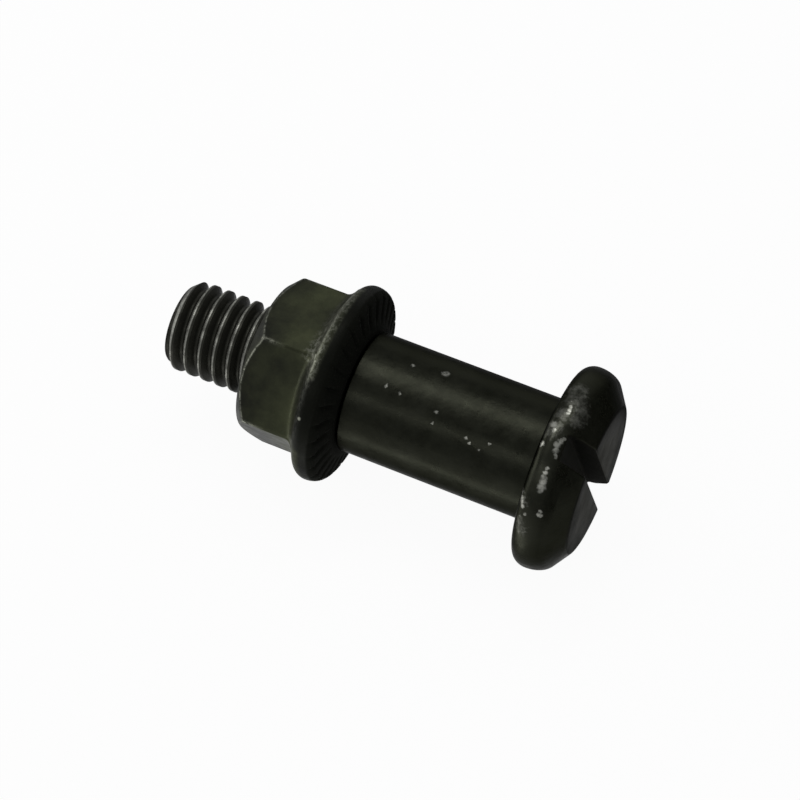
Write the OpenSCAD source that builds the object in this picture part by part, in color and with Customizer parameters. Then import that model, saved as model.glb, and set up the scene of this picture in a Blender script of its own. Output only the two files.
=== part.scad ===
// Lever pivot bolt with its serrated flange nut, in millimetres.
// The bolt lies on its side along X, head towards +X, on the plane z = 0.
// The origin is under the middle of its length.

/* [Shoulder] */
// Diameter of the plain bearing shoulder that the lever turns on
shoulder_d = 8; // [7:0.1:9.5]
// Length of the shoulder, from the head's underside to the nut's seat
shoulder_len = 13; // [8:0.1:30]
// Bevel on the shoulder's end, where the nut seats
shoulder_edge = 0.2; // [0.1:0.05:0.4]
// Fillet under the head
neck_fillet = 0.3; // [0.1:0.05:0.5]

/* [Head] */
// Largest diameter of the head, at its rounded rim
head_d = 13.3; // [12:0.1:20]
// Height of the head
head_h = 3.2; // [3:0.1:6]
// How far inside the rim the flat underside ends
under_in = 0.7; // [0.5:0.05:1]
// Height of the rim's widest line above the underside
rim_z = 0.9; // [0.6:0.05:1.2]
// How far the rim's rounding reaches in from the largest diameter
rim_round = 0.9; // [0.6:0.05:1.2]
// How far inside the rim the rounding meets the shallow cone
cone_in = 0.5; // [0.3:0.05:0.6]
// Height of that line above the underside
cone_z = 2.3; // [1.8:0.05:2.6]
// Diameter of the flat top
head_flat_d = 9.7; // [7:0.1:10.5]
// Width of the screwdriver slot
slot_w = 1.7; // [1.2:0.1:2.6]
// Depth of the slot below the flat top
slot_depth = 1.6; // [1:0.1:1.9]
// Turn of the slot about the bolt's axis
slot_turn = 21.5; // [0:0.5:180]

/* [Thread] */
// Crest diameter of the thread, for M6
thread_d = 6; // [5:0.05:6.6]
// Pitch of the thread
thread_pitch = 1; // [0.75:0.25:1.25]
// Depth of the thread, crest to root
thread_depth = 0.5; // [0.4:0.02:0.66]
// Length from the shoulder's end to the tip
thread_len = 12.7; // [9:0.1:30]
// Length of the plain relief next to the shoulder
relief_len = 1; // [0.6:0.1:2]
// Height of the bevel on the tip
tip_bevel = 0.6; // [0.3:0.05:1]
// Turn of the thread's start about the axis
thread_turn = 230; // [0:1:360]
// Straight facets in one turn of the thread
thread_facets = 24; // [18:1:30]

/* [Nut] */
// Size across the nut's flats
nut_af = 10; // [9.6:0.1:11]
// Height of the nut, flange and all
nut_h = 6.4; // [5:0.1:9]
// Turn of the hexagon about the axis
nut_turn = 22.5; // [0:0.5:60]
// Height of the bevel on the hexagon's outer corners
nut_bevel = 0.9; // [0.3:0.05:1.2]
// Largest diameter of the flange
flange_d = 13.1; // [12.9:0.1:16]
// How far inside the flange's rim its bearing face ends and starts to round
bearing_in = 0.6; // [0.4:0.05:1]
// How far the toothed face falls back from the seat by then
bearing_drop = 0.35; // [0.1:0.05:0.5]
// Distance from the seat to the flange's widest line
flange_rim_z = 1.3; // [1:0.05:1.5]
// How far inside the flange's rim its rounding meets the cone
flange_cone_in = 0.25; // [0.2:0.05:0.4]
// Distance from the seat to that line
flange_cone_z = 1.85; // [1.6:0.05:2.1]
// Distance from the seat to where the cone meets the hexagon's flats
flange_top_z = 2.4; // [2.3:0.05:3]
// Radial gap between the nut's bore and the thread's crests
bore_clearance = 0.08; // [0.03:0.01:0.1]
// Bevel at both ends of the nut's bore
bore_bevel = 0.4; // [0.1:0.05:0.6]
// Number of teeth on the bearing face
teeth = 30; // [24:1:36]
// Width of the notch between two teeth
notch_w = 0.5; // [0.3:0.05:0.8]
// Depth of the notches
notch_depth = 0.2; // [0.1:0.05:0.35]
// Width of the smooth ring between the shoulder and the teeth
seat_ring = 0.3; // [0.1:0.05:0.6]

/* [Hidden] */
$fn = 96;
// How far cutters reach past the metal that they cut
cut = 0.5;
// How far the relief lies below the thread's root
relief_under = 0.05;
// Where the helix begins, above the plane of the tip
helix_lead = 0.15;
// Shares of the pitch that the crest and the root take
crest_share = 0.25;
root_share = 0.2;
// Overlap of the flange's core with the hexagon, inside its flats
core_inset = 0.4;
// Gap from the seat ring's edge to a notch, and the cutter's height above the face
notch_start = 0.1;
notch_above = 0.2;
rim_steps = 8;
fillet_steps = 4;
shoulder_r = shoulder_d / 2;
head_r = head_d / 2;
under_r = head_r - under_in;
cone_r = head_r - cone_in;
flange_r = flange_d / 2;
bearing_r = flange_r - bearing_in;
flange_cone_r = flange_r - flange_cone_in;
thread_r = thread_d / 2;
root_r = thread_r - thread_depth;
relief_r = root_r - relief_under;
bore_r = thread_r + bore_clearance;
seat_r = shoulder_r + seat_ring;
axis_height = max(head_r, flange_r);
centre_shift = (thread_len - shoulder_len - head_h) / 2;

// Points [r, z] of an elliptical arc about [r0, z0], from angle t0 to t1
function arc(r0, z0, half_r, half_z, t0, t1, steps) = [
    for (i = [0:steps])
        let (t = t0 + (t1 - t0) * i / steps)
            [r0 + half_r * cos(t), z0 + half_z * sin(t)]
];

// A rounded rim: quarter ellipse out to the widest line, then part of one up to the cone
function rim(low_r, low_z, wide_r, wide_z, round_r, end_r, end_z) =
    let (
        top_t = acos((end_r - wide_r + round_r) / round_r),
        half_z = (end_z - wide_z) / sin(top_t)
    )
    concat(
        arc(low_r, wide_z, wide_r - low_r, wide_z - low_z, -90, 0, rim_steps),
        [for (i = [1:rim_steps])
            arc(wide_r - round_r, wide_z, round_r, half_z, 0, top_t, rim_steps)[i]]
    );

// Stands the bolt's own axis, head up, along X
module laid_down() {
    translate([centre_shift, 0, axis_height])
        rotate([0, 90, 0])
            children();
}

// Head, shoulder and relief turned as one piece
module turned_body() {
    head_outline = [
        for (p = rim(under_r, 0, head_r, rim_z, rim_round, cone_r, cone_z))
            [p[0], p[1] + shoulder_len]
    ];
    rotate_extrude()
        polygon(concat(
            [[0, -relief_len - cut], [relief_r, -relief_len - cut], [relief_r, 0]],
            [[shoulder_r - shoulder_edge, 0], [shoulder_r, shoulder_edge]],
            arc(shoulder_r + neck_fillet, shoulder_len - neck_fillet,
                neck_fillet, neck_fillet, 180, 90, fillet_steps),
            head_outline,
            [[head_flat_d / 2, shoulder_len + head_h], [0, shoulder_len + head_h]]
        ));
}

// Screwdriver slot, cut right across the head
module slot() {
    rotate([0, 0, slot_turn])
        translate([-head_d, -slot_w / 2, shoulder_len + head_h - slot_depth])
            cube([2 * head_d, slot_w, slot_depth + cut]);
}

// Right-hand helical thread on its core, as one closed skin.
// Each step of the helix has four points: both ends of the root, both ends of the crest.
module thread() {
    n = thread_facets;
    quarter = n / 4;
    run = thread_len - relief_len;
    steps = floor((run - thread_pitch - 2 * helix_lead) / thread_pitch * n);
    shares = [root_share / 2, 0.5 - crest_share / 2, 0.5 + crest_share / 2, 1 - root_share / 2];
    rises = [0, 1, 1, 0];
    bottom = -thread_len;
    function helix_point(i, k) =
        let (
            z = bottom + helix_lead + thread_pitch * (i / n + shares[k]),
            faded = min(1, i / quarter, (steps - i) / quarter) * thread_depth * rises[k],
            bevelled = max(0, z - bottom) / tip_bevel * thread_depth,
            r = root_r + min(faded, bevelled)
        )
        [r * cos(360 * i / n), r * sin(360 * i / n), z];
    function ring(r, z) = [for (j = [0:n - 1]) [r * cos(360 * j / n), r * sin(360 * j / n), z]];
    function at(i, k) = 4 * i + k;
    low = 4 * (steps + 1);
    high = low + n;
    last = steps % n;
    skin = [
        for (i = [0:steps - 1], k = [0:2])
            [at(i, k), at(i, k + 1), at(i + 1, k + 1), at(i + 1, k)]
    ];
    roots = [
        for (i = [0:steps - 1 - n])
            [at(i, 3), at(i + n, 0), at(i + 1 + n, 0), at(i + 1, 3)]
    ];
    low_skirt = [for (j = [0:n - 2]) [low + j, at(j, 0), at(j + 1, 0), low + j + 1]];
    low_seam = [
        [low + n - 1, at(n - 1, 0), low],
        [low, at(n - 1, 0), at(0, 0)],
        [at(0, 0), at(n - 1, 0), at(0, 1)],
        [at(0, 1), at(n - 1, 0), at(0, 2)],
        [at(0, 2), at(n - 1, 0), at(0, 3)],
        [at(0, 3), at(n - 1, 0), at(n, 0)]
    ];
    high_skirt = [
        for (i = [steps - n + 1:steps - 1])
            [at(i, 3), high + i % n, high + (i + 1) % n, at(i + 1, 3)]
    ];
    apex = at(steps - n + 1, 3);
    high_seam = [
        [apex, at(steps - n, 3), at(steps, 0)],
        [apex, at(steps, 0), at(steps, 1)],
        [apex, at(steps, 1), at(steps, 2)],
        [apex, at(steps, 2), at(steps, 3)],
        [apex, at(steps, 3), high + last],
        [apex, high + last, high + (last + 1) % n]
    ];
    ends = [[for (j = [0:n - 1]) low + j], [for (j = [n - 1:-1:0]) high + j]];
    rotate([0, 0, thread_turn])
        polyhedron(
            points = concat(
                [for (i = [0:steps], k = [0:3]) helix_point(i, k)],
                ring(root_r, bottom),
                ring(root_r, -relief_len)
            ),
            faces = concat(skin, roots, low_skirt, low_seam, high_skirt, high_seam, ends),
            convexity = 10
        );
}

// One-piece slotted bolt: head, plain shoulder and thread
module bolt() {
    color([0.11, 0.115, 0.09])
        laid_down() {
            difference() {
                turned_body();
                slot();
            }
            thread();
        }
}

// Flange, from the bearing face to the hexagon, and the core inside the hexagon
module flange_body() {
    outline = rim(bearing_r, bearing_drop, flange_r, flange_rim_z,
        bearing_in, flange_cone_r, flange_cone_z);
    slope = (flange_top_z - flange_cone_z) / (flange_cone_r - nut_af / 2);
    core_z = flange_top_z + core_inset * slope;
    mirror([0, 0, 1])
        rotate_extrude()
            polygon(concat(
                [[0, 0], [seat_r, 0]],
                outline,
                [[nut_af / 2 - core_inset, core_z], [0, core_z]]
            ));
}

// Hexagon with its outer corners turned off at forty-five degrees
module hexagon() {
    corner_r = nut_af / 2 / cos(30);
    intersection() {
        rotate([0, 0, nut_turn])
            translate([0, 0, -nut_h])
                cylinder(h = nut_h - flange_cone_z, r = corner_r, $fn = 6);
        mirror([0, 0, 1])
            rotate_extrude()
                polygon([
                    [0, 0], [corner_r + cut, 0], [corner_r + cut, nut_h - nut_bevel - cut],
                    [corner_r - nut_bevel, nut_h], [0, nut_h]
                ]);
    }
}

// Notches between the ratchet teeth, each with a steep side and a ramp.
// They start at the smooth seat ring and follow the face as it falls back to the rim.
module tooth_cuts() {
    fall = atan(bearing_drop / (bearing_r - seat_r));
    for (i = [0:teeth - 1])
        rotate([0, 0, 360 * i / teeth])
            translate([seat_r, 0, 0])
                rotate([0, fall, 0])
                    translate([notch_start, 0, 0])
                        rotate([90, 0, 90])
                            linear_extrude(height = flange_r)
                                polygon([
                                    [0, notch_above], [0, -notch_depth],
                                    [notch_w * (1 + notch_above / notch_depth), notch_above]
                                ]);
}

// Bore that clears the thread, bevelled at both ends
module bore() {
    rotate_extrude()
        polygon([
            [0, cut], [bore_r + bore_bevel, cut], [bore_r + bore_bevel, 0],
            [bore_r, -bore_bevel], [bore_r, -nut_h + bore_bevel],
            [bore_r + bore_bevel, -nut_h], [bore_r + bore_bevel, -nut_h - cut],
            [0, -nut_h - cut]
        ]);
}

// Hexagon nut with a flange in one piece, seated against the shoulder's end
module flange_nut() {
    color([0.17, 0.175, 0.14])
        laid_down()
            difference() {
                union() {
                    flange_body();
                    hexagon();
                }
                tooth_cuts();
                bore();
            }
}

bolt();
flange_nut();
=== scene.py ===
# %% [markdown]
# # A lever pivot bolt in blackened steel
# The real object is what a hand lever turns on. A slotted bolt has a plain shoulder for the
# lever's hub, and a toothed flange nut clamps it to the bracket. It lies on its side here,
# on the rims of its head and of the nut's flange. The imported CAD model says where
# everything is, so it is loaded first and never moved.

# %% Load the fixed frame
import math

import bmesh
import bpy
import numpy as np
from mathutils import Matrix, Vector


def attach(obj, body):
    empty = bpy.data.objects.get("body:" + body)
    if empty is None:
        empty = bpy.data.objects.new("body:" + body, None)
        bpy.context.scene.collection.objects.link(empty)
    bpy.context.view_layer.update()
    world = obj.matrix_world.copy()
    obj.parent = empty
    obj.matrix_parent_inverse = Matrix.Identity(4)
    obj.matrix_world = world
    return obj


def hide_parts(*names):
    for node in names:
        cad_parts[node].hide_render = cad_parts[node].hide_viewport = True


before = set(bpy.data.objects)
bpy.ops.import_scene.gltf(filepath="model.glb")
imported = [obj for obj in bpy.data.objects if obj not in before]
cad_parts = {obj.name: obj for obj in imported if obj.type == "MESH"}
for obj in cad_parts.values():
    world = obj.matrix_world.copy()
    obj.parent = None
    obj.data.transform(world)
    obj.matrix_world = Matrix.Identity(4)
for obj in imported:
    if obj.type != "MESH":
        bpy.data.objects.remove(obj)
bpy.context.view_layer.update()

# %% [markdown]
# ## The bolt's own axes
# Every turned form has one axis, which runs along X at the height of the larger rim. It is
# simplest to model each piece about the X axis through the origin, in millimetres, and to
# lift the finished mesh by that height. Places along the bolt are the CAD model's own x.

# %% Sizes shared by the pieces, in millimetres
MM = 0.001
AXIS_HEIGHT = 6.65
SEAT_X = -1.75           # the nut sits against the shoulder's end here
SHOULDER_R = 4.0
UNDERSIDE_X = 11.25      # the head's underside
TOP_X = 14.45            # the head's flat top
TIP_X = -14.45           # the thread's tip
PITCH = 1.0
CREST_R = 3.0
ROOT_R = 2.5
RELIEF_R = 2.45
RELIEF_X = SEAT_X - 1.0  # the relief groove ends here, and the thread begins
print(f"the bolt is {TOP_X - TIP_X:.1f} mm long, and its axis is {AXIS_HEIGHT} mm up")

# %% [markdown]
# ## Selecting, closing and measuring
# Blender's operators act on all that is selected, and the loaded CAD pieces start out
# selected. So each step first selects only the piece that it works on. A spun mesh meets
# itself in a seam of doubled points, which are merged before its faces are turned outwards.
# Each piece is measured after each step, because a hole is easier to mend early.


# %% Mesh helpers
def select_only(obj):
    """Object mode, with nothing but obj selected and active."""
    if bpy.context.object and bpy.context.object.mode != "OBJECT":
        bpy.ops.object.mode_set(mode="OBJECT")
    bpy.ops.object.select_all(action="DESELECT")
    obj.select_set(True)
    bpy.context.view_layer.objects.active = obj


def edit_all(obj):
    """Edit mode on obj, with its whole mesh selected."""
    select_only(obj)
    bpy.ops.object.mode_set(mode="EDIT")
    bpy.ops.mesh.select_all(action="SELECT")


def close_up(obj):
    """Merges doubled points and turns the faces outwards."""
    edit_all(obj)
    bpy.ops.mesh.remove_doubles(threshold=0.0002 * MM)
    bpy.ops.mesh.normals_make_consistent(inside=False)
    bpy.ops.object.mode_set(mode="OBJECT")


def report(obj):
    """Prints the size of a mesh and whether it is closed."""
    mesh = bmesh.new()
    mesh.from_mesh(obj.data)
    loose = sum(1 for e in mesh.edges if len(e.link_faces) != 2)
    triangles = sum(len(f.verts) - 2 for f in mesh.faces)
    print(f"{obj.name}: {triangles} triangles, {loose} open edges, "
          f"{mesh.calc_volume() / MM ** 3:.1f} mm3")
    mesh.free()


# %% [markdown]
# ## Drawing an outline
# A lathe cuts corners that are never quite sharp. The outline is a list of corners, each
# with the radius that the tool or the plating leaves there. Small arcs are drawn in their
# place, with one more point just outside each arc so that the flats beside it shade flat.

# %% Outline helpers
ARC_STEPS = 5
SUPPORT = 0.06           # distance of the extra point from its arc
ARC_SHARE = 0.45         # the most of a side that one arc takes up


def softened(corners):
    """Corners (x, radius, rounding) in mm, as plain points with an arc at each rounding."""
    points = []
    for i, (x, r, rounding) in enumerate(corners):
        here = Vector((x, r))
        if rounding == 0 or i in (0, len(corners) - 1):
            points.append(here)
            continue
        before = Vector(corners[i - 1][:2]) - here
        after = Vector(corners[i + 1][:2]) - here
        half = before.angle(after) / 2
        reach = min(rounding / math.tan(half), before.length * ARC_SHARE,
                    after.length * ARC_SHARE)
        radius = reach * math.tan(half)
        centre = here + (before.normalized() + after.normalized()).normalized() * (
            radius / math.sin(half))
        start = here + before.normalized() * reach
        end = here + after.normalized() * reach
        if before.length - reach > 2 * SUPPORT:
            points.append(start + before.normalized() * SUPPORT)
        for k in range(ARC_STEPS + 1):
            spoke = (start - centre).lerp(end - centre, k / ARC_STEPS)
            points.append(centre + spoke.normalized() * radius)
        if after.length - reach > 2 * SUPPORT:
            points.append(end + after.normalized() * SUPPORT)
    return [(p.x, p.y) for p in points]


def ellipse(x0, r0, half_x, half_r, start, end, steps):
    """Points along part of an ellipse about (x0, r0); 0 degrees points away from the axis."""
    turns = [math.radians(start + (end - start) * k / steps) for k in range(steps + 1)]
    return [(x0 + half_x * math.sin(t), r0 + half_r * math.cos(t)) for t in turns]


# %% [markdown]
# ## Turning
# The outline is drawn by extruding a single point from corner to corner, as by hand, and
# the Spin tool turns it about X. This is the way that the real bolt is made, and it gives
# even, round walls that shade smoothly.


# %% The lathe
def drawn(name, outline):
    """A new mesh in edit mode: edges through points (x, radius), in mm, above the X axis."""
    bpy.ops.object.select_all(action="DESELECT")
    bpy.ops.mesh.primitive_plane_add(size=MM, location=(0, 0, 0))
    piece = bpy.context.object
    piece.name = name
    bpy.ops.object.mode_set(mode="EDIT")
    bpy.ops.mesh.select_all(action="SELECT")
    bpy.ops.mesh.merge(type="CENTER")
    bpy.ops.transform.translate(value=(outline[0][0] * MM, 0, outline[0][1] * MM))
    for (x0, r0), (x1, r1) in zip(outline, outline[1:]):
        step = ((x1 - x0) * MM, 0, (r1 - r0) * MM)
        bpy.ops.mesh.extrude_vertices_move(TRANSFORM_OT_translate={"value": step})
    return piece


def lathe(name, outline, steps, closed=False):
    """A new mesh object: the outline spun once round the X axis."""
    piece = drawn(name, outline)
    if closed:
        bpy.ops.object.mode_set(mode="OBJECT")
        for v in piece.data.vertices:
            v.select = v.index in (0, len(outline) - 1)
        bpy.ops.object.mode_set(mode="EDIT")
        bpy.ops.mesh.edge_face_add()
    bpy.ops.mesh.select_all(action="SELECT")
    bpy.ops.mesh.spin(steps=steps, angle=math.tau, center=(0, 0, 0), axis=(1, 0, 0))
    close_up(piece)
    return piece


def take_away(piece, cutter):
    """Cuts the cutter's shape out of piece, and removes the cutter."""
    select_only(piece)
    modifier = piece.modifiers.new("cut", "BOOLEAN")
    modifier.operation = "DIFFERENCE"
    modifier.solver = "EXACT"
    modifier.object = cutter
    bpy.ops.object.modifier_apply(modifier=modifier.name)
    bpy.data.objects.remove(cutter)


# %% [markdown]
# ## The bolt blank
# The head has a flat underside, a full round rim, a shallow cone and a flat top. The
# shoulder is ground plain for the lever. Beyond it come a relief groove and the rod that
# the thread is cut on, with a bevelled tip. All of it is one turned piece.

# %% The head's rim
RIM_RISE = 0.9           # from the underside to the rim's widest place
RIM_X = UNDERSIDE_X + RIM_RISE
RIM_R = 6.65
RIM_ROUND = 0.9          # how far in from its widest place the rim's upper arc reaches
RIM_STEPS = 12
UNDERSIDE_R = 5.95       # the flat underside ends here
CONE_START = (UNDERSIDE_X + 2.3, 6.15)

lower_rim = ellipse(RIM_X, UNDERSIDE_R, RIM_RISE, RIM_R - UNDERSIDE_R, -90, 0, RIM_STEPS)
upper_turn = math.degrees(math.acos(1 - (RIM_R - CONE_START[1]) / RIM_ROUND))
upper_reach = (CONE_START[0] - RIM_X) / math.sin(math.radians(upper_turn))
upper_rim = ellipse(RIM_X, RIM_R - RIM_ROUND, upper_reach, RIM_ROUND, 0, upper_turn,
                    RIM_STEPS)[1:]
print(f"the rim's upper arc turns through {upper_turn:.1f} degrees")

# %% Turn the blank
BLANK_STEPS = 192
FLAT_R = 4.85
FLAT_EDGE = 0.7          # rounding where the cone meets the flat top
SHOULDER_BEVEL = 0.2
NECK_FILLET = 0.3        # between the shoulder and the underside
TIP_BEVEL = 0.6          # length of the bevel at the thread's tip

# The shank's last corner only gives the relief's wall its direction, and is dropped.
shank = softened([
    (TIP_X, 0, 0), (TIP_X, ROOT_R, 0.12), (TIP_X + TIP_BEVEL, CREST_R, 0.1),
    (RELIEF_X, CREST_R, 0.08), (RELIEF_X - 0.001, RELIEF_R, 0),
])[:-1]
shoulder = softened([
    (RELIEF_X, RELIEF_R, 0), (SEAT_X, RELIEF_R, 0),
    (SEAT_X, SHOULDER_R - SHOULDER_BEVEL, 0.04), (SEAT_X + SHOULDER_BEVEL, SHOULDER_R, 0.12),
    (UNDERSIDE_X, SHOULDER_R, NECK_FILLET), (UNDERSIDE_X, UNDERSIDE_R, 0),
])
crown = softened([
    (*CONE_START, 0), (TOP_X, FLAT_R, FLAT_EDGE), (TOP_X, 0, 0),
])
bolt = lathe("bolt_blackened", shank + shoulder + lower_rim[1:] + upper_rim + crown[1:],
             BLANK_STEPS)
report(bolt)

# %% [markdown]
# ## The thread
# A die cuts a helical groove with a rounded root and sixty-degree flanks, and leaves a
# crest that is slightly rounded too. The groove's section is drawn once, swept along the
# bolt by a Screw modifier, closed at its ends and taken away from the rod. It starts in
# the relief groove and runs out past the tip, as a die does.

# %% The groove's section
CREST_SHARE = 0.25       # of the pitch, before its edges are eased
ROOT_SHARE = 0.2
ROOT_ROUND = 0.16
EASE_ALONG = 0.035       # the crest's edges are broken by this much along the bolt
EASE_DEEP = 0.05         # and by this much towards the axis
MOUTH_FLARE = 0.1        # outside the rod the groove is this much wider on each side
OUTSIDE_R = CREST_R + 0.12
half_crest_gap = PITCH * (1 - CREST_SHARE) / 2
half_root = PITCH * ROOT_SHARE / 2

groove_section = softened([
    (-half_crest_gap - MOUTH_FLARE, OUTSIDE_R, 0),
    (-half_crest_gap + EASE_ALONG, CREST_R - EASE_DEEP, 0),
    (-half_root, ROOT_R, ROOT_ROUND), (half_root, ROOT_R, ROOT_ROUND),
    (half_crest_gap - EASE_ALONG, CREST_R - EASE_DEEP, 0),
    (half_crest_gap + MOUTH_FLARE, OUTSIDE_R, 0),
])
print("groove section:", [(round(x, 3), round(r, 3)) for x, r in groove_section])

# %% Cut the thread
GROOVE_STEPS = 96        # in one turn
GROOVE_TURNS = 13
GROOVE_START = RELIEF_X + 0.45
GROOVE_TURN = -50        # where the helix starts, from straight up towards +Y


def swept_groove(name, outline):
    """The groove's section swept into a closed right-hand helix about the X axis."""
    piece = drawn(name, [(x + GROOVE_START, r) for x, r in outline])
    bpy.ops.mesh.select_all(action="SELECT")
    bpy.ops.mesh.edge_face_add()
    bpy.ops.object.mode_set(mode="OBJECT")
    screw = piece.modifiers.new("sweep", "SCREW")
    screw.axis = "X"
    screw.angle = -math.tau
    screw.screw_offset = -PITCH * MM
    screw.steps = screw.render_steps = GROOVE_STEPS
    screw.iterations = GROOVE_TURNS
    select_only(piece)
    bpy.ops.object.modifier_apply(modifier=screw.name)
    edit_all(piece)
    bpy.ops.mesh.select_all(action="DESELECT")
    bpy.ops.mesh.select_non_manifold()
    bpy.ops.mesh.edge_face_add()
    bpy.ops.mesh.select_all(action="SELECT")
    bpy.ops.mesh.normals_make_consistent(inside=False)
    bpy.ops.object.mode_set(mode="OBJECT")
    piece.rotation_euler.x = math.radians(-GROOVE_TURN)
    bpy.ops.object.transform_apply(rotation=True)
    return piece


thread_cutter = swept_groove("groove", groove_section)
report(thread_cutter)
take_away(bolt, thread_cutter)
report(bolt)

# %% [markdown]
# ## The screwdriver slot
# The slot is milled right across the head, and its edges are worn round. A plain box would
# leave them knife sharp, and they run over the flat, the cone and the rim. So the cutter
# is made like a flared channel: straight walls and a rounded foot below, and two lips
# above that turn outwards and follow the head's own outline from one side to the other.
# No operator draws such a channel, so its sections are worked out and joined row to row.

# %% The slot and the head's outline
SLOT_HALF = 0.85
SLOT_FLOOR_X = TOP_X - 1.6
SLOT_TURN = 21.5         # from straight up towards -Y, the viewer's side
LIP = 0.14               # radius of the worn edge
LIP_REACH = 4            # the lip runs on above the head for this many radii
LIP_SLOPE = 0.25
FOOT = 0.18              # radius at the bottom of the walls
LEAST_RISE = 0.001       # keeps the points of a section in order
crown_outline = upper_rim + crown[1:]
OUTLINE_X = np.array([x for x, r in crown_outline][::-1])
OUTLINE_R = np.array([r for x, r in crown_outline][::-1])
FLOOR_END = float(np.interp(SLOT_FLOOR_X, OUTLINE_X[::-1], OUTLINE_R[::-1]))
print(f"the slot's floor ends {FLOOR_END:.2f} mm from the axis")


# %% One section of the cutter
def head_height(r):
    """How far along the bolt the head's surface lies at a distance r from the axis."""
    return float(np.interp(r, OUTLINE_R, OUTLINE_X))


def floor_height(along, across):
    """The slot's floor, which rounds over where it leaves the head."""
    end = math.sqrt(FLOOR_END ** 2 - across ** 2) - LIP
    over = min(max((abs(along) - end) / LIP, 0), 1)
    return SLOT_FLOOR_X - LIP * (1 - math.sqrt(1 - over ** 2)) - (
        max(abs(along) - end - LIP, 0))


def slot_section(along):
    """Points (across, x) of the cutter's section at a distance along the slot."""
    half = []
    for turn in (-90, -60, -30, 0):
        t = math.radians(turn)
        across = SLOT_HALF - FOOT * (1 - math.cos(t))
        half.append((across, floor_height(along, across) + FOOT * (1 + math.sin(t))))
    wall_foot = half[-1][1]
    for turn in (0, 20, 40, 60, 76):
        t = math.radians(turn)
        across = SLOT_HALF + LIP * (1 - math.cos(t))
        height = head_height(math.hypot(along, across)) - LIP * (1 - math.sin(t))
        half.append((across, max(height, wall_foot + LEAST_RISE * len(half))))
    half.append((half[-1][0] + LIP_REACH * LIP, half[-1][1] + LIP_SLOPE * LIP_REACH * LIP))
    half.append((half[-1][0] + 0.1, TOP_X + 1))
    return [(-across, x) for across, x in reversed(half)] + half


# %% Mill the slot
# The sections stand closer together towards the rim, where the outline bends most.
stations = [-8.2, -7.2] + [6.85 * math.sin(math.radians(t)) for t in range(-84, 85, 3)] + [
    7.2, 8.2]
channel = bmesh.new()
rows = []
for along in stations:
    rows.append([channel.verts.new((x * MM, across * MM, along * MM))
                 for across, x in slot_section(along)])
for near, far in zip(rows, rows[1:]):
    for i in range(len(near)):
        j = (i + 1) % len(near)
        channel.faces.new((near[i], near[j], far[j], far[i]))
channel.faces.new(rows[0][::-1])
channel.faces.new(rows[-1])
bmesh.ops.recalc_face_normals(channel, faces=channel.faces)
slot_data = bpy.data.meshes.new("slot_cutter")
channel.to_mesh(slot_data)
channel.free()
slot_cutter = bpy.data.objects.new("slot_cutter", slot_data)
bpy.context.scene.collection.objects.link(slot_cutter)
slot_cutter.rotation_euler.x = math.radians(SLOT_TURN)
report(slot_cutter)
take_away(bolt, slot_cutter)
report(bolt)

# %% [markdown]
# ## Finishing a piece
# Every finished mesh is lifted to the axis height, and its object stays at the origin.
# Smooth shading stops at corners sharper than thirty degrees.


# %% Lift and shade the bolt
def finish_piece(piece, body, node):
    """Lifts the mesh to the axis, shades it, and ties it to its CAD body and node."""
    select_only(piece)
    piece.location = (0, 0, AXIS_HEIGHT * MM)
    bpy.ops.object.transform_apply(location=True, rotation=True, scale=True)
    bpy.ops.object.shade_smooth_by_angle(angle=math.radians(30))
    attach(piece, body)
    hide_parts(node)
    print(f"{piece.name} rides on {body} and replaces {node}")


finish_piece(bolt, "bolt", "bolt")

# %% [markdown]
# ## The flange nut
# The nut is forged in one piece: a hexagon with turned-off corners, a flange that spreads
# under it, and radial teeth on the face that bites into the bracket. A Boolean of these
# would leave hard seams where the forging has soft ones. So one closed outline is spun in
# 360 steps, and the points of each ring are then moved to where the forging has them.
# Distances along the nut are measured from its toothed face, the seat.

# %% The nut's sizes
NUT_STEPS = 360
NUT_H = 6.4
FLAT_TO_AXIS = 5.0
CORNER_BEVEL = 0.9       # how far in from the corners the end face begins
END_R = FLAT_TO_AXIS / math.cos(math.radians(30)) - CORNER_BEVEL
FLANGE_R = 6.55
FLANGE_S = 1.3           # the flange is widest here
FLANGE_ROUND = 0.6
CONE_S, CONE_R = 1.85, 6.3
CONE_END_S = 2.4         # the flange's cone reaches the flats here
CONE_SLOPE = (CONE_R - FLAT_TO_AXIS) / (CONE_END_S - CONE_S)
BEARING_R = 5.95
BEARING_DROP = 0.35      # the toothed face falls back by this much at its edge
SEAT_RING_R = 4.3        # and is flat inside this radius
TEETH_R = 4.4
BORE_R = 3.08
BORE_BEVEL = 0.4
MOUTH_R = BORE_R + BORE_BEVEL
BORE_ENDS = 0.7          # the rings that carry the nut's own thread keep off both ends
print(f"the nut is {2 * FLAT_TO_AXIS:.0f} mm across flats and {NUT_H} mm high")

# %% Spin the nut
face_rings = [(BEARING_DROP * (r - SEAT_RING_R) / (BEARING_R - SEAT_RING_R), r)
              for r in np.linspace(TEETH_R, BEARING_R, 14)]
under_rim = ellipse(FLANGE_S, BEARING_R, FLANGE_S - BEARING_DROP, FLANGE_R - BEARING_R,
                    -90, 0, 12)[1:]
over_turn = math.degrees(math.acos(1 - (FLANGE_R - CONE_R) / FLANGE_ROUND))
over_reach = (CONE_S - FLANGE_S) / math.sin(math.radians(over_turn))
over_rim = ellipse(FLANGE_S, FLANGE_R - FLANGE_ROUND, over_reach, FLANGE_ROUND,
                   0, over_turn, 8)[1:]
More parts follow.
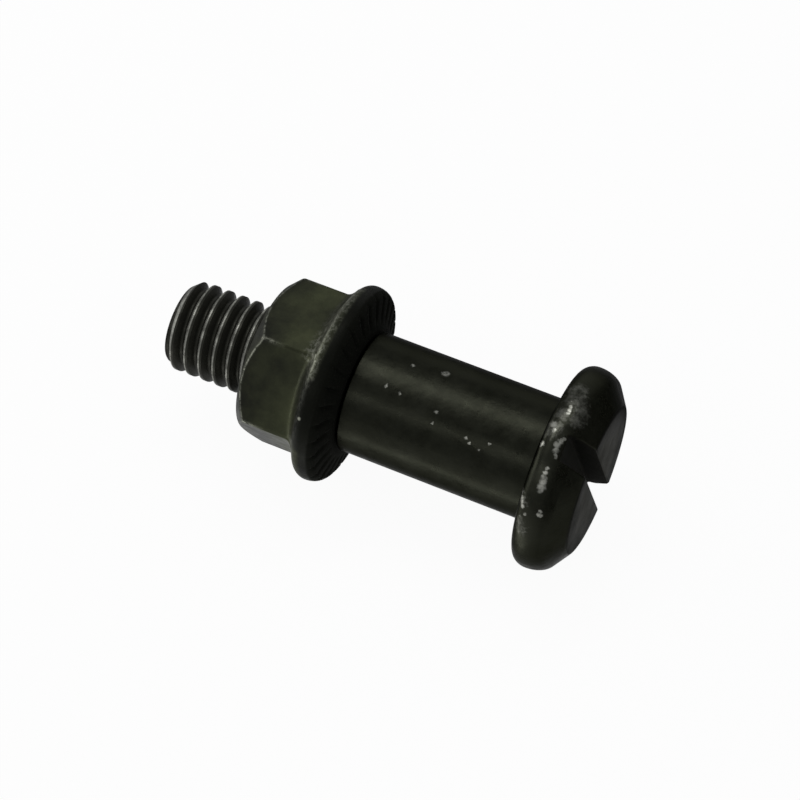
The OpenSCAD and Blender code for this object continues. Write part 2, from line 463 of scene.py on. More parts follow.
# The side's rings only wait here, outside the end face, until they are moved.
side_rings = [(s, FLAT_TO_AXIS + 0.6) for s in np.linspace(CONE_S + 0.06, 2.7, 16)]
side_rings += [(s, FLAT_TO_AXIS + 0.4) for s in np.linspace(2.9, 5.1, 9)]
side_rings += [(s, FLAT_TO_AXIS + 0.4) for s in np.linspace(5.2, NUT_H - 0.04, 22)]
bore_rings = [(s, BORE_R, 0) for s in np.linspace(NUT_H - BORE_ENDS, BORE_ENDS, 61)]
end_face = softened([
    (NUT_H, END_R, 0), (NUT_H, MOUTH_R, 0.08), (NUT_H - BORE_BEVEL, BORE_R, 0.08),
    *bore_rings,
    (BORE_BEVEL, BORE_R, 0.08), (0, MOUTH_R, 0.06), (0, TEETH_R - 0.1, 0),
])
nut_outline = [(SEAT_X - s, r)
               for s, r in face_rings + under_rim + over_rim + side_rings + end_face]
nut = lathe("nut_blackened", nut_outline, NUT_STEPS, closed=True)
report(nut)

# %% [markdown]
# Now the points move. Each ring on the nut's side takes the shape of the hexagon, limited
# by the cone that turns its corners off, and swells into the flange at its foot. The
# smooth minimum below rounds the edge where two such shapes meet.

# %% The shape of the hexagon
HEX_TURN = 22.5          # a corner, from straight down towards +Y
CORNER_ROUND = 0.28


def smooth_min(a, b, width):
    """The lesser of a and b, rounded over a width where they meet."""
    h = np.maximum(width - np.abs(a - b), 0) / width
    return np.minimum(a, b) - h * h * width / 4


def from_corner(turn):
    """Angles from the nearest corner, in degrees, from -30 to 30."""
    return (turn - HEX_TURN + 30) % 60 - 30


def hexagon_radius(turn):
    """Distance from the axis to a hexagon with rounded corners, at angles in degrees."""
    off_corner = np.radians(np.abs(from_corner(turn)))
    flat = FLAT_TO_AXIS / np.cos(math.pi / 6 - off_corner)
    centre = (FLAT_TO_AXIS - CORNER_ROUND) / math.cos(math.pi / 6)
    inside = CORNER_ROUND ** 2 - (centre * np.sin(off_corner)) ** 2
    arc = centre * np.cos(off_corner) + np.sqrt(np.maximum(inside, 0))
    tangent = math.atan2(CORNER_ROUND / 2,
                         centre + CORNER_ROUND * math.cos(math.pi / 6))
    return np.where(off_corner < tangent, arc, flat)


def closer_to_corners(turn):
    """Angles drawn towards the hexagon's corners, where the shape changes most."""
    off = from_corner(turn)
    share = np.abs(off) / 30
    return turn - off + np.sign(off) * 30 * (0.4 * share + 0.6 * share ** 2)


# %% Shape the hexagon and the flange's cone
BEVEL_ROUND = 0.16       # of the line between a flat and the corner bevel
FOOT_ROUND = 1.1         # of the hollow between the hexagon and the flange

points = np.empty(len(nut.data.vertices) * 3)
nut.data.vertices.foreach_get("co", points)
points = points.reshape(-1, 3) / MM
from_seat = SEAT_X - points[:, 0]
radius = np.hypot(points[:, 1], points[:, 2])
turn = np.degrees(np.arctan2(points[:, 1], -points[:, 2])) % 360

on_side = (from_seat > CONE_S + 0.01) & (from_seat < NUT_H - 0.01) & (radius > END_R)
pull = np.clip((from_seat - CONE_END_S) / 0.6, 0, 1)
turn = np.where(on_side, turn + pull * (closer_to_corners(turn) - turn), turn)
corner_cone = END_R + (NUT_H - from_seat)
wall = smooth_min(hexagon_radius(turn), corner_cone, BEVEL_ROUND)
flange_cone = CONE_R - (from_seat - CONE_S) * CONE_SLOPE
radius = np.where(on_side, -smooth_min(-wall, -flange_cone, FOOT_ROUND), radius)
print(f"{np.count_nonzero(on_side)} points moved to the hexagon and the flange")

# %% [markdown]
# The teeth are notches with one steep side, so that the nut turns on easily and bites when
# it is turned back. The rings in the bore are pushed outwards along a helix, which leaves
# the nut's own thread.

# %% Press the teeth and tap the bore
TEETH = 30
NOTCH_WIDTH = 0.42
NOTCH_DEPTH = 0.17
NOTCH_FADE = 0.7         # the notches deepen over this much of the radius
STEEP_SIDE = 0.5         # in degrees, where a notch is only partly deep
STEEP_SHARE = 0.35
FACE_S = 0.9             # points nearer to the seat than this belong to the toothed face
GROOVE_DEPTH = 0.4       # of the nut's own thread, outwards from the bore
RUN_OUT = 0.5            # over this length it fades, towards both ends
RUN_OUT_S = 0.6          # and it is gone at this distance from them

on_face = (from_seat < FACE_S) & (radius > TEETH_R - 0.01)
into_notch = np.radians(turn % (360 / TEETH)) * radius
notch = NOTCH_DEPTH * np.clip(1 - into_notch / NOTCH_WIDTH, 0, 1)
notch = np.where(turn % (360 / TEETH) < STEEP_SIDE, STEEP_SHARE * NOTCH_DEPTH, notch)
notch *= np.clip((radius - TEETH_R) / NOTCH_FADE, 0, 1)
notch *= np.clip((FACE_S - from_seat) / 0.5, 0, 1)
from_seat = np.where(on_face, from_seat + notch, from_seat)

in_bore = (np.abs(radius - BORE_R) < 0.001) & (from_seat > BORE_ENDS - 0.01) & (
    from_seat < NUT_H - BORE_ENDS + 0.01)
# The groove is deepest up to 0.06 of a pitch from its middle, and gone at 0.42.
off_groove = np.abs((points[:, 0] / PITCH - turn / 360) % 1 - 0.5)
own_thread = GROOVE_DEPTH * np.clip((0.42 - off_groove) / 0.36, 0, 1)
own_thread *= np.clip((from_seat - RUN_OUT_S) / RUN_OUT, 0, 1)
own_thread *= np.clip((NUT_H - RUN_OUT_S - from_seat) / RUN_OUT, 0, 1)
radius = np.where(in_bore, radius + own_thread, radius)
print(f"{TEETH} teeth, {notch[on_face].max():.2f} mm deep; own thread {own_thread.max():.2f} mm")

# %% [markdown]
# Spanners and handling rub a nut bare along its edges. The place of each edge is known
# while the points are being moved, so it is kept now, in an attribute called wear that the
# material reads later. A second one, corner_foot, marks the foot of each corner, where
# the forging is rough and dull.

# %% Mark the worn edges and the rough feet
BEVEL_LINE = 0.05        # widths of the rubbed lines, in mm
FLANGE_LINE = 0.28
FLANGE_LINE_S = 1.95
CORNER_LINE = 1.2        # and at the corners, in degrees
ROUGH_FOOT = 2.5


def ridge(distance, width):
    """1 on a line, falling to 0 at a distance of about two widths."""
    return np.exp(-(distance / width) ** 2)


off_corner = np.abs(from_corner(turn))
corner_line = ridge(off_corner, CORNER_LINE) * (wall < corner_cone)
corner_line *= np.clip((from_seat - 4) / 2, 0, 1)
bevel_line = ridge(hexagon_radius(turn) - corner_cone, BEVEL_LINE) * (from_seat > 4)
flange_line = ridge(from_seat - FLANGE_LINE_S, FLANGE_LINE) * (radius > FLAT_TO_AXIS)
worn = np.where(on_side, np.maximum(corner_line, bevel_line), 0)
worn = np.maximum(worn, flange_line)
rough_foot = ridge(off_corner, ROUGH_FOOT) * np.clip((4.9 - from_seat) / 0.8, 0, 1) * on_side
for name, amount in (("wear", worn), ("corner_foot", rough_foot)):
    layer = nut.data.attributes.new(name, "FLOAT", "POINT")
    layer.data.foreach_set("value", amount.astype(np.float32))
    print(f"{name}: {np.count_nonzero(amount > 0.5)} points are mostly so")

# %% Put the points back and finish the nut
points[:, 0] = SEAT_X - from_seat
points[:, 1] = radius * np.sin(np.radians(turn))
points[:, 2] = -radius * np.cos(np.radians(turn))
nut.data.vertices.foreach_set("co", (points * MM).ravel())
nut.data.update()
report(nut)
finish_piece(nut, "nut", "flange_nut")

# %% [markdown]
# ## Camera
# The photo was taken from in front and well above, with a longish lens. The direction,
# distance and aim were worked out from the bolt's outline in the photo.

# %% Place the camera
AZIMUTH, ELEVATION = 24.67, 56.07
DISTANCE = 165
AIM = Vector((0.716, 0.573, 6.308))
LENS, SENSOR = 117.1, 36
azimuth, elevation = math.radians(AZIMUTH), math.radians(ELEVATION)
to_camera = Vector((math.sin(azimuth) * math.cos(elevation),
                    -math.cos(azimuth) * math.cos(elevation), math.sin(elevation)))
bpy.ops.object.camera_add(location=(AIM + to_camera * DISTANCE) * MM)
camera = bpy.context.object
camera.name = "camera"
camera.rotation_euler = to_camera.to_track_quat("Z", "Y").to_euler()
camera.data.sensor_width = SENSOR
camera.data.lens = LENS
camera.data.clip_start = 0.01
camera.data.clip_end = 10
bpy.context.scene.camera = camera
print(f"camera: {DISTANCE} mm away, {ELEVATION} degrees up, {LENS} mm lens")

# %% [markdown]
# ## Nodes
# Every material and the room are trees of shader nodes. One small function adds a node of
# any kind, sets it and links it, so a material reads as a list of its nodes. Colours are
# written as they look on a screen, and turned to the linear values that light works with.


# %% Node helpers
def linear(hex_colour):
    """An sRGB colour such as "#24251f" as the linear RGBA that shaders work with."""
    parts = [int(hex_colour[i:i + 2], 16) / 255 for i in (1, 3, 5)]
    return [c / 12.92 if c <= 0.04045 else ((c + 0.055) / 1.055) ** 2.4 for c in parts] + [1]


def feed(tree, node, inputs):
    """Gives a node its inputs, by name or number: values, hex colours, sockets or nodes."""
    for name, given in inputs.items():
        if isinstance(given, str):
            given = linear(given)
        if isinstance(given, bpy.types.Node):
            given = next(socket for socket in given.outputs if socket.enabled)
        if isinstance(given, bpy.types.NodeSocket):
            tree.links.new(given, node.inputs[name])
        else:
            node.inputs[name].default_value = given


def add(tree, kind, inputs=None, **settings):
    """A new node of a kind, with its settings and inputs."""
    node = tree.nodes.new("ShaderNode" + kind)
    for name, setting in settings.items():
        setattr(node, name, setting)
    feed(tree, node, inputs or {})
    return node


# %% [markdown]
# ## Studio
# The photo shows the bolt on pure white, under soft light from above and from the thread's
# end. A mild grey sky gives the plain light. The lamps could light a white floor until it
# is white in the picture, but they would burn out the steel. So the floor's paper glows
# for the camera, and half as strongly for reflections, and its matte share keeps the
# bolt's shadow. For all other light it is plain paper.

# %% The room
world = bpy.data.worlds.new("grey_room")
bpy.context.scene.world = world
world.use_nodes = True
world.node_tree.nodes.clear()
sky = add(world.node_tree, "Background", {"Color": "#e8eaec", "Strength": 0.5})
add(world.node_tree, "OutputWorld", {"Surface": sky})
print("world:", world.name)

# %% The floor of white paper
GLOW_SEEN = 0.95         # how much of the floor's light is its own glow, for the camera
GLOW_MIRRORED = 0.55     # and for reflections

bpy.ops.object.select_all(action="DESELECT")
bpy.ops.mesh.primitive_plane_add(size=3, location=(0, 0, 0))
floor = bpy.context.object
floor.name = "floor"


def white_paper():
    """Matte white paper that glows for the camera and for mirrored rays."""
    paper = bpy.data.materials.new("floor_paper")
    paper.use_nodes = True
    tree = paper.node_tree
    tree.nodes.clear()
    path = add(tree, "LightPath")
    matte = add(tree, "BsdfDiffuse", {"Color": "#f6f6f6"})
    glow = add(tree, "Emission", {"Color": "#ffffff", "Strength": 1})
    seen = add(tree, "Math", {0: path.outputs["Is Camera Ray"], 1: GLOW_SEEN},
               operation="MULTIPLY")
    either = add(tree, "Math", {0: path.outputs["Is Glossy Ray"],
                                1: path.outputs["Is Transmission Ray"]},
                 operation="MAXIMUM")
    mirrored = add(tree, "Math", {0: either, 1: GLOW_MIRRORED}, operation="MULTIPLY")
    share = add(tree, "Math", {0: seen, 1: mirrored}, operation="MAXIMUM")
    surface = add(tree, "MixShader", {0: share, 1: matte, 2: glow})
    add(tree, "OutputMaterial", {"Surface": surface})
    return paper


floor.data.materials.append(white_paper())
print("floor:", floor.data.materials[0].name)

# %% [markdown]
# ### The lamps
# Black metal shows only what it reflects, so the lamps are placed by their reflections.
# The two bright streaks along the shoulder are the overhead and the front lamp, the lit
# edges of the thread and the nut face the left one, and a dim one behind softens the
# shoulder's upper edge. A strip at the table's edge lights the nut's lower flat.

# %% Hang the lamps
TARGET = Vector((0, 0, AXIS_HEIGHT))


def softbox(name, towards, distance, width, height, power):
    """A rectangular lamp in a direction from the bolt, facing it; sizes in millimetres."""
    way = Vector(towards).normalized()
    bpy.ops.object.light_add(type="AREA", location=(TARGET + way * distance) * MM)
    lamp = bpy.context.object
    lamp.name = name
    lamp.rotation_euler = way.to_track_quat("Z", "Y").to_euler()
    lamp.data.shape = "RECTANGLE"
    lamp.data.size = width * MM
    lamp.data.size_y = height * MM
    lamp.data.energy = power
    lamp.visible_camera = False
    print(f"lamp {name}: {power} W from {distance} mm away")


softbox("overhead", (-0.233, 0.246, 0.94), 220, 200, 50, 0.12)
softbox("front", (-0.233, -0.675, 0.70), 260, 200, 8, 0.05)
softbox("left", (-0.95, -0.1, 0.1), 200, 180, 120, 0.15)
softbox("back", (0, 0.97, 0.2), 200, 260, 80, 0.03)

# %% The strip at the table's edge
STRIP_PLACE = (-0.006, -0.0137, 0.0003)  # in metres, just above the floor
STRIP_LENGTH = 0.034
STRIP_WIDTH = 0.003
STRIP_POWER = 0.0011
bpy.ops.object.light_add(type="AREA", location=STRIP_PLACE, rotation=(math.pi, 0, 0))
strip = bpy.context.object
strip.name = "table_edge"
strip.data.shape = "RECTANGLE"
strip.data.size = STRIP_LENGTH
strip.data.size_y = STRIP_WIDTH
strip.data.energy = STRIP_POWER
strip.visible_camera = False
print(f"lamp {strip.name}: {STRIP_POWER} W, facing up")

# %% [markdown]
# ### The grey cards
# A photographer puts grey cards where a dark, shiny thing would mirror the white table.
# Less glow from the floor would do it too, but would dull every reflection. So two cards,
# seen only in reflections, keep the head's top and the upper outlines dark.


# %% Stand up the grey cards
def grey_felt():
    """Felt is matt all over, so the steel mirrors it as an even grey."""
    felt = bpy.data.materials.new("grey_card")
    felt.use_nodes = True
    feed(felt.node_tree, felt.node_tree.nodes["Principled BSDF"],
         {"Base Color": "#a0a0a0", "Roughness": 1})
    return felt


card_felt = grey_felt()


def grey_card(name, location, tilt, width, length):
    """A card in metres that only reflections see; tilt in degrees about Y."""
    bpy.ops.mesh.primitive_plane_add(size=1, location=location,
                                     rotation=(0, math.radians(tilt), 0))
    card = bpy.context.object
    card.name = name
    card.scale = (width, length, 1)
    card.visible_camera = False
    card.visible_diffuse = False
    card.visible_shadow = False
    card.data.materials.append(card_felt)
    print(f"{name}: {width * 1000:.0f} by {length * 1000:.0f} mm")


grey_card("card_at_head", (0.045, 0, 0.04), 90, 0.078, 0.2)
grey_card("card_behind", (0, 0.034, 0.0005), 0, 0.09, 0.05)

# %% [markdown]
# ## Black oxide
# Hot blackening turns the steel's skin to a thin, dark oxide. To the eye it is still
# metal: the reflections are soft and take the skin's own dark colour, with a faint olive
# cast, and bare metal shows paler where the skin is worn through. A flat dark grey would
# look like plastic. So the skin has three sizes of unevenness: patches of gloss about
# 0.8 mm wide, low waves left by tool and bath, and a fine grain.


# %% Patterns and places
def patchy(tree, place, size, detail, fineness, span, to):
    """Clouds of a size in mm; noise from span[0] to span[1] gives to[0] to to[1]."""
    clouds = add(tree, "TexNoise", {"Vector": place, "Scale": 1 / (size * MM),
                                    "Detail": detail, "Roughness": fineness})
    return add(tree, "MapRange", {0: clouds, 1: span[0], 2: span[1], 3: to[0], 4: to[1]})


def about_axis(tree, place):
    """A place along the bolt, across it, and above its axis."""
    x, y, z = add(tree, "SeparateXYZ", {0: place}).outputs
    return x, y, add(tree, "Math", {0: z, 1: AXIS_HEIGHT * MM}, operation="SUBTRACT")


def off_axis(tree, y, up):
    """The distance of a place from the bolt's axis."""
    y_squared = add(tree, "Math", {0: y, 1: y}, operation="MULTIPLY")
    up_squared = add(tree, "Math", {0: up, 1: up}, operation="MULTIPLY")
    both = add(tree, "Math", {0: y_squared, 1: up_squared}, operation="ADD")
    return add(tree, "Math", {0: both}, operation="SQRT")


def spots(tree, place, marks, ragged):
    """A mask that is 1 on the marks; ragged is how far in mm noise moves their edges."""
    wobble = patchy(tree, place, 0.25, 4, 0.7, (0.3, 0.7), (-ragged * MM, ragged * MM))
    total = None
    for x, y, z, radius in marks:
        away = add(tree, "VectorMath", {0: place, 1: (x * MM, y * MM, z * MM)},
                   operation="DISTANCE")
        edge = add(tree, "Math", {0: away, 1: wobble}, operation="ADD")
        mask = add(tree, "MapRange", {0: edge, 1: 0.4 * radius * MM, 2: radius * MM,
                                      3: 1, 4: 0})
        total = mask if total is None else add(tree, "Math", {0: total, 1: mask},
                                               operation="MAXIMUM")
    return total


# %% The oxide that both pieces start from
def black_oxide(name, roughness, spread):
    """A new oxide skin: its material, tree, shader, place and uneven roughness."""
    material = bpy.data.materials.new(name)
    material.use_nodes = True
    tree = material.node_tree
    shader = tree.nodes["Principled BSDF"]
    feed(tree, shader, {"Metallic": 1, "Specular IOR Level": 0.1})
    place = add(tree, "TexCoord").outputs["Object"]
    rough = patchy(tree, place, 0.8, 5, 0.65, (0.3, 0.7),
                   (roughness - spread, roughness + spread))
    low_waves = add(tree, "TexNoise", {"Vector": place, "Scale": 1 / (1.1 * MM),
                                       "Detail": 3, "Roughness": 0.5})
    waves = add(tree, "Bump", {"Height": low_waves, "Strength": 0.6, "Distance": 0.06 * MM})
    # The real grain is finer than a pixel, so it is drawn at 0.15 mm.
    fine_grain = add(tree, "TexNoise", {"Vector": place, "Scale": 1 / (0.15 * MM),
                                        "Detail": 4, "Roughness": 0.6})
    grain = add(tree, "Bump", {"Height": fine_grain, "Strength": 0.4,
                               "Distance": 0.012 * MM, "Normal": waves})
    feed(tree, shader, {"Normal": grain})
    return material, tree, shader, place, rough


# %% [markdown]
# ### The bolt's finish
# The shoulder has small bright nicks, and the head's rim is rubbed bare in places where
# the lever and tools have knocked it. Around them the oxide is only thinned. A painted
# highlight runs along the thread's flank that faces the tip, near the crests, where the nut
# also ran on. The middle of the flat top is painted lighter, as a painted highlight, and the
# top is duller and uneven. The slot is coloured darker. Each mark is a place on the bolt,
# because noise alone would put the wear where no lever touches.

# %% Marks on the bolt: x, y and z in mm, and the radius
NICKS = [
    (1.60, 0.59, 10.61, 0.13), (3.68, 0.94, 10.54, 0.27), (0.65, -1.35, 10.41, 0.12),
    (1.64, -1.44, 10.38, 0.13), (4.20, -1.73, 10.26, 0.14), (4.22, -2.34, 9.89, 0.10),
    (6.54, -2.44, 9.82, 0.10), (6.82, -2.61, 9.68, 0.10), (7.55, -2.75, 9.56, 0.10),
    (8.08, -2.29, 9.93, 0.10),
]
RUBBED = [
    (12.22, 0.16, 13.30, 0.14), (12.24, -0.12, 13.30, 0.18), (12.24, -0.40, 13.29, 0.14),
    (12.09, 0.53, 13.27, 0.10), (11.69, -1.33, 13.06, 0.28), (11.90, -1.67, 13.06, 0.20),
    (11.52, -2.57, 12.57, 0.20), (12.67, -1.96, 12.95, 0.14), (12.53, -2.15, 12.91, 0.20),
    (12.40, -2.44, 12.82, 0.26), (12.46, -2.72, 12.70, 0.22), (12.56, -2.98, 12.56, 0.14),
    (12.62, -3.13, 12.47, 0.10), (12.39, -3.81, 12.09, 0.13), (12.39, -4.00, 11.94, 0.18),
    (12.38, -4.24, 11.76, 0.23), (12.40, -4.47, 11.56, 0.28), (12.42, -4.69, 11.35, 0.31),
    (12.44, -4.86, 11.17, 0.20), (11.24, -4.75, 10.62, 0.15), (11.35, -4.95, 10.50, 0.18),
    (11.44, -5.21, 10.33, 0.20), (11.53, -5.40, 10.19, 0.20), (11.65, -5.59, 10.03, 0.18),
    (11.93, -5.88, 9.70, 0.12), (12.82, -5.56, 10.13, 0.14), (12.74, -5.72, 9.91, 0.18),
    (12.91, -5.69, 9.87, 0.12),
]
DULLED = [
    (11.73, -6.12, 9.03, 0.40), (11.87, -6.33, 8.56, 0.50), (11.92, 1.42, 13.12, 0.60),
    (12.57, 1.10, 13.18, 0.45), (11.94, -0.46, 13.26, 0.60), (12.52, 0.40, 13.26, 0.50),
    (11.80, -1.60, 13.00, 0.70), (11.50, -5.20, 10.20, 0.50), (12.30, 0.75, 13.25, 0.90),
    (12.85, 0.25, 13.20, 0.70), (12.90, -0.55, 13.18, 0.60), (12.20, 1.75, 13.05, 0.60),
]
print(f"{len(NICKS)} nicks, {len(RUBBED)} rubbed marks, {len(DULLED)} thinned patches")


# %% Wear on the shoulder and the rim
def worn_marks(tree, place):
    """How bare the steel is at the nicks, the rubbed marks and the thinned patches."""
    nicked = patchy(tree, place, 0.15, 3, 0.5, (0.35, 0.55), (0.25, 0.9))
    rubbed = patchy(tree, place, 0.3, 3, 0.5, (0.3, 0.55), (0.35, 1))
    thinned = patchy(tree, place, 0.4, 4, 0.65, (0.38, 0.64), (0.06, 0.29))
    total = 0
    for marks, ragged, amount in ((NICKS, 0.1, nicked), (RUBBED, 0.08, rubbed),
                                  (DULLED, 0.3, thinned)):
        shown = add(tree, "Math", {0: spots(tree, place, marks, ragged), 1: amount},
                    operation="MULTIPLY")
        total = add(tree, "Math", {0: total, 1: shown}, operation="MAXIMUM")
    return total


# %% A painted highlight on the thread
HELIX_START = 0.389      # with this, the groove's middle falls at 0.95 of a pitch
HIGHLIT_FLANK = 0.27      # and the crest's flank that faces the tip falls here


def flank_highlight(tree, place, x, y, up, on_thread):
    """A painted highlight, where the nut also rubbed: pale along one flank, near the crests
    only.
    """
    angle = add(tree, "Math", {0: y, 1: up}, operation="ARCTAN2")
    turns = add(tree, "Math", {0: angle, 1: math.tau}, operation="DIVIDE")
    shifted = add(tree, "Math", {0: turns, 1: HELIX_START}, operation="ADD")
    pitches = add(tree, "Math", {0: x, 1: PITCH * MM}, operation="DIVIDE")
    helix = add(tree, "Math", {0: pitches, 1: shifted}, operation="ADD")
    phase = add(tree, "Math", {0: helix}, operation="FRACT")
    beside = add(tree, "Math", {0: phase, 1: HIGHLIT_FLANK}, operation="SUBTRACT")
    off_flank = add(tree, "Math", {0: beside}, operation="ABSOLUTE")
    flank = add(tree, "MapRange", {0: off_flank, 1: 0.12, 2: 0.17, 3: 1, 4: 0})
    near_crest = add(tree, "MapRange", {0: off_axis(tree, y, up), 1: 2.58 * MM,
                                        2: 2.75 * MM})
    flank = add(tree, "Math", {0: flank, 1: near_crest}, operation="MULTIPLY")
    flank = add(tree, "Math", {0: flank, 1: on_thread}, operation="MULTIPLY")
    patches = patchy(tree, place, 0.5, 4, 0.7, (0.35, 0.65), (0.3, 1))
    return add(tree, "Math", {0: flank, 1: patches}, operation="MULTIPLY")


# %% The slot, coloured darker
def in_the_slot(tree, x, y, up):
    """A mask of the slot's walls and floor."""
    lean = math.radians(SLOT_TURN)
    sideways = add(tree, "Math", {0: y, 1: math.cos(lean)}, operation="MULTIPLY")
    upwards = add(tree, "Math", {0: up, 1: math.sin(lean)}, operation="MULTIPLY")
    across = add(tree, "Math", {0: sideways, 1: upwards}, operation="ADD")
    away = add(tree, "Math", {0: across}, operation="ABSOLUTE")
    between = add(tree, "MapRange", {0: away, 1: (SLOT_HALF + 0.01) * MM,
                                     2: (SLOT_HALF + 0.06) * MM, 3: 1, 4: 0})
    above = add(tree, "MapRange", {0: x, 1: (SLOT_FLOOR_X - 0.12) * MM,
                                   2: (SLOT_FLOOR_X - 0.04) * MM})
    return add(tree, "Math", {0: between, 1: above}, operation="MULTIPLY")


# %% The bolt's colours
def bolt_skin(tree, place, x, reach, on_thread, in_slot, on_top):
    """The oxide's colour on the shoulder, the rim and the thread, a painted highlight in the
    middle of the flat top, and the slot's darker colour.
    """
    # Hands and tools pale the rim most, and the cone beyond it stays darker.
    on_head = add(tree, "MapRange", {0: x, 1: 11.5 * MM, 2: 11.9 * MM})
    to_cone = add(tree, "MapRange", {0: x, 1: 12.0 * MM, 2: 13.1 * MM, 3: 0.5, 4: -0.2})
    handled = add(tree, "Math", {0: on_head, 1: to_cone}, operation="MULTIPLY")
    mottle = add(tree, "TexNoise", {"Vector": place, "Scale": 1 / (1.6 * MM), "Detail": 6,
                                    "Roughness": 0.62})
    clouds = add(tree, "Math", {0: mottle, 1: handled}, operation="ADD", use_clamp=True)
    skin = add(tree, "Mix", {0: clouds, 6: "#1a1b15", 7: "#2f3029"}, data_type="RGBA")
    skin = add(tree, "Mix", {0: on_thread, 6: skin, 7: "#2d2d28"}, data_type="RGBA")
    # The middle of the flat top is painted lighter, a painted highlight with a ragged edge, and
    # the ring around it darker.
    uneven = patchy(tree, place, 2.2, 4, 0.6, (0.3, 0.7), (-0.9 * MM, 0.9 * MM))
    ragged_reach = add(tree, "Math", {0: reach, 1: uneven}, operation="ADD")
    middle = add(tree, "MapRange", {0: ragged_reach, 1: 3.0 * MM, 2: 4.0 * MM, 3: 1, 4: 0})
    flat = add(tree, "Mix", {0: middle, 6: "#1e1f1b", 7: "#34342f"}, data_type="RGBA")
    skin = add(tree, "Mix", {0: on_top, 6: skin, 7: flat}, data_type="RGBA")
    # The slot's walls and floor are coloured darker than the rest of the skin.
    darker_in_slot = add(tree, "Mix", {0: clouds, 6: "#10100d", 7: "#26261f"}, data_type="RGBA")
    return add(tree, "Mix", {0: in_slot, 6: skin, 7: darker_in_slot}, data_type="RGBA")


# %% Blacken the bolt
def blacken_bolt():
    """Black oxide on turned steel: satin, almost black, paler where it is rubbed and where
    highlights are painted.
    """
    oxide, tree, shader, place, rough = black_oxide("black_oxide_bolt", 0.33, 0.09)
    x, y, up = about_axis(tree, place)
    reach = off_axis(tree, y, up)
    on_thread = add(tree, "MapRange", {0: x, 1: (RELIEF_X - 0.1) * MM,
                                       2: (RELIEF_X - 0.2) * MM})
    on_top = add(tree, "MapRange", {0: x, 1: (TOP_X - 0.12) * MM, 2: (TOP_X - 0.04) * MM})
    in_slot = in_the_slot(tree, x, y, up)
    skin = bolt_skin(tree, place, x, reach, on_thread, in_slot, on_top)
    # The thread's flank gets a painted highlight; bare holds it together with the real nicks and
    # rubbed marks.
    threads = flank_highlight(tree, place, x, y, up, on_thread)
    bare = add(tree, "Math", {0: worn_marks(tree, place), 1: threads}, operation="MAXIMUM")
    colour = add(tree, "Mix", {0: bare, 6: skin, 7: "#9c9c94"}, data_type="RGBA")
    # Cut threads and the slot scatter light, so they are only half metal to the eye.
    dull = add(tree, "Math", {0: on_thread, 1: in_slot}, operation="MAXIMUM")
    metallic = add(tree, "MapRange", {0: dull, 1: 0, 2: 1, 3: 1, 4: 0.5})
    matt = patchy(tree, place, 2.5, 3, 0.5, (0.35, 0.65), (0.46, 0.58))
    top_rough = add(tree, "Math", {0: on_top, 1: matt}, operation="MULTIPLY")
    slot_rough = add(tree, "Math", {0: in_slot, 1: 0.85}, operation="MULTIPLY")
    rough = add(tree, "Math", {0: rough, 1: top_rough}, operation="MAXIMUM")
    rough = add(tree, "Math", {0: rough, 1: slot_rough}, operation="MAXIMUM")
    feed(tree, shader, {"Base Color": colour, "Metallic": metallic, "Roughness": rough,
                        "Specular Tint": "#b8b8b8"})
    print(f"{oxide.name}: {len(tree.nodes)} nodes")
    return oxide


bolt.data.materials.append(blacken_bolt())

# %% [markdown]
# ### The nut's finish
# The nut's oxide has a stronger olive cast, and it is lighter and more olive towards the
# flange. Its corners and its bevel are rubbed bare in fine, broken lines, and the flange
# is worn in specks at its top. The toothed face is painted dark, as painted shade under
# the flange, which reaches further out just below the flange's top. The rubbed lines
# follow the forging's edges, so they are read from the wear attribute, and the rest comes
# from places on the nut.


# %% Olive skin and painted shade
def olive_skin(tree, place, x, y):
    """The oxide's colour: lighter and more olive near the flange, and further out on top than in
    front.
    """
    clouds = patchy(tree, place, 2.4, 5, 0.6, (0.33, 0.67), (0.2, 0.8))
    further = add(tree, "MapRange", {0: y, 1: -3.2 * MM, 2: -1.4 * MM, 3: 0, 4: 1.1 * MM})
    shifted = add(tree, "Math", {0: x, 1: further}, operation="ADD")
    to_flange = add(tree, "MapRange", {0: shifted, 1: -6.6 * MM, 2: -5.0 * MM, 3: -0.4,
                                       4: 0.2})
    olive = add(tree, "Math", {0: clouds, 1: to_flange}, operation="ADD", use_clamp=True)
    return add(tree, "Mix", {0: olive, 6: "#272823", 7: "#474a37"}, data_type="RGBA")


def shade_under_flange(tree, x, up):
    """A mask of painted shade on the toothed face under the flange, wider just below the
    flange's top.
    """
    below_top = add(tree, "MapRange", {0: up, 1: 5.5 * MM, 2: 4.9 * MM, 3: 0, 4: 0.7 * MM})
    above_side = add(tree, "MapRange", {0: up, 1: 0.9 * MM, 2: 1.8 * MM})
    further = add(tree, "Math", {0: below_top, 1: above_side}, operation="MULTIPLY")
    shifted = add(tree, "Math", {0: x, 1: further}, operation="ADD")
    return add(tree, "MapRange", {0: shifted, 1: (SEAT_X - 1.9) * MM,
                                  2: (SEAT_X - 1.2) * MM})


# %% Wear on the nut's edges
SPECKS_X = SEAT_X - 2.15             # the middle of the specks at the flange's top
NICK = (-3.29, -5.56, 10.04, 0.16)   # one nick beside the flange: x, y, z and radius


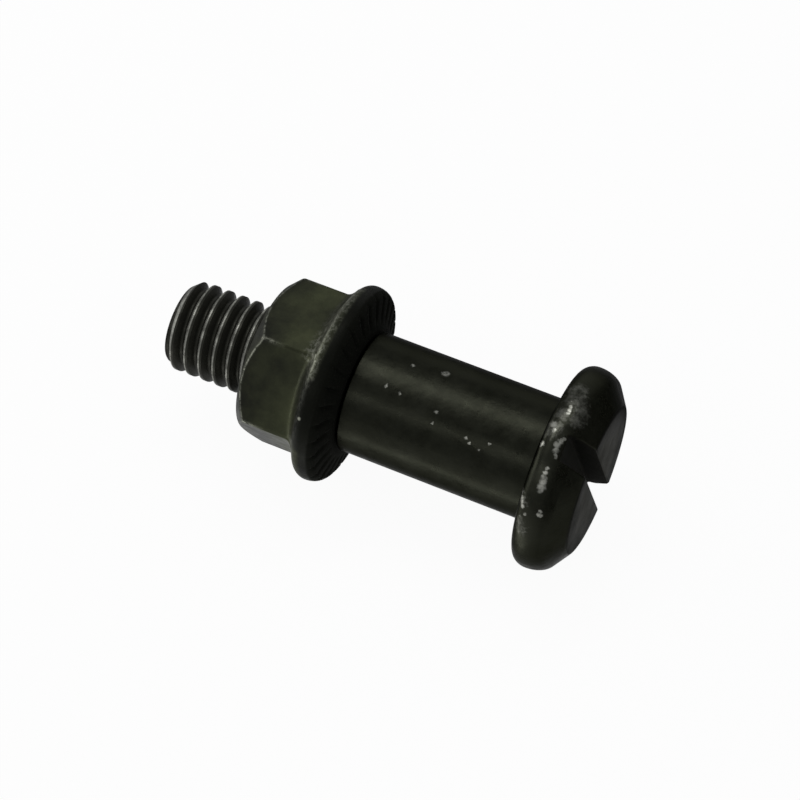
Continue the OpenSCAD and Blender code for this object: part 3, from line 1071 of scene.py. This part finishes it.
def worn_edges(tree, place, x, up):
    """How bare the edges are: broken lines on the hexagon, specks at the flange's top."""
    wear = add(tree, "Attribute", attribute_name="wear").outputs["Fac"]
    broken = patchy(tree, place, 0.3, 5, 0.75, (0.42, 0.62), (0.05, 0.95))
    lines = add(tree, "Math", {0: wear, 1: broken}, operation="MULTIPLY")
    on_flange = add(tree, "MapRange", {0: x, 1: (SEAT_X - 3.2) * MM, 2: (SEAT_X - 2.8) * MM})
    off_flange = add(tree, "MapRange", {0: on_flange, 1: 0, 2: 1, 3: 1, 4: 0})
    high = add(tree, "MapRange", {0: up, 1: 4.8 * MM, 2: 5.4 * MM, 3: 0.2, 4: 1})
    at_top = add(tree, "Math", {0: on_flange, 1: high}, operation="MULTIPLY")
    lines_show = add(tree, "Math", {0: at_top, 1: off_flange}, operation="MAXIMUM")
    lines = add(tree, "Math", {0: lines, 1: lines_show}, operation="MULTIPLY")
    beside = add(tree, "Math", {0: x, 1: SPECKS_X * MM}, operation="SUBTRACT")
    off_line = add(tree, "Math", {0: beside}, operation="ABSOLUTE")
    band = add(tree, "MapRange", {0: off_line, 1: 0.3 * MM, 2: 0.9 * MM, 3: 1, 4: 0})
    dots = patchy(tree, place, 0.35, 4, 0.7, (0.48, 0.58), (0, 0.7))
    specks = add(tree, "Math", {0: band, 1: dots}, operation="MULTIPLY")
    very_top = add(tree, "Math", {0: at_top, 1: 2}, operation="POWER")
    specks = add(tree, "Math", {0: specks, 1: very_top}, operation="MULTIPLY")
    worn = add(tree, "Math", {0: lines, 1: specks}, operation="MAXIMUM")
    nick = spots(tree, place, [NICK], 0.03)
    return add(tree, "Math", {0: worn, 1: nick}, operation="MAXIMUM")


# %% Blacken the nut
def blacken_nut():
    """Black oxide on forged steel: duller and more olive than on the turned bolt."""
    oxide, tree, shader, place, rough = black_oxide("black_oxide_nut", 0.42, 0.08)
    x, y, up = about_axis(tree, place)
    # Painted shade: the toothed face under the flange gets the dark #151612.
    flange_shade = shade_under_flange(tree, x, up)
    skin = add(tree, "Mix", {0: flange_shade, 6: olive_skin(tree, place, x, y), 7: "#151612"},
               data_type="RGBA")
    colour = add(tree, "Mix", {0: worn_edges(tree, place, x, up), 6: skin, 7: "#8f9084"},
                 data_type="RGBA")
    # Where the shade is painted, the nut is only half metal, so it mirrors less, also at a flat
    # angle.
    metallic = add(tree, "MapRange", {0: flange_shade, 1: 0, 2: 1, 3: 1, 4: 0.5})
    tint = add(tree, "Mix", {0: flange_shade, 6: "#f0f0f0", 7: "#b0b0b0"}, data_type="RGBA")
    face_rough = add(tree, "MapRange", {0: x, 1: (SEAT_X - 1.0) * MM,
                                        2: (SEAT_X - 0.7) * MM, 3: 0, 4: 0.85})
    foot = add(tree, "Attribute", attribute_name="corner_foot").outputs["Fac"]
    foot_rough = add(tree, "Math", {0: foot, 1: 0.8}, operation="MULTIPLY")
    dull = add(tree, "Math", {0: face_rough, 1: foot_rough}, operation="MAXIMUM")
    rough = add(tree, "Math", {0: rough, 1: dull}, operation="MAXIMUM")
    feed(tree, shader, {"Base Color": colour, "Metallic": metallic, "Roughness": rough,
                        "Specular Tint": tint})
    print(f"{oxide.name}: {len(tree.nodes)} nodes")
    return oxide


nut.data.materials.append(blacken_nut())

# %% [markdown]
# ## Last
# The plain view transform shows colours as they are written.

# %% Finish
bpy.context.scene.view_settings.view_transform = "Standard"
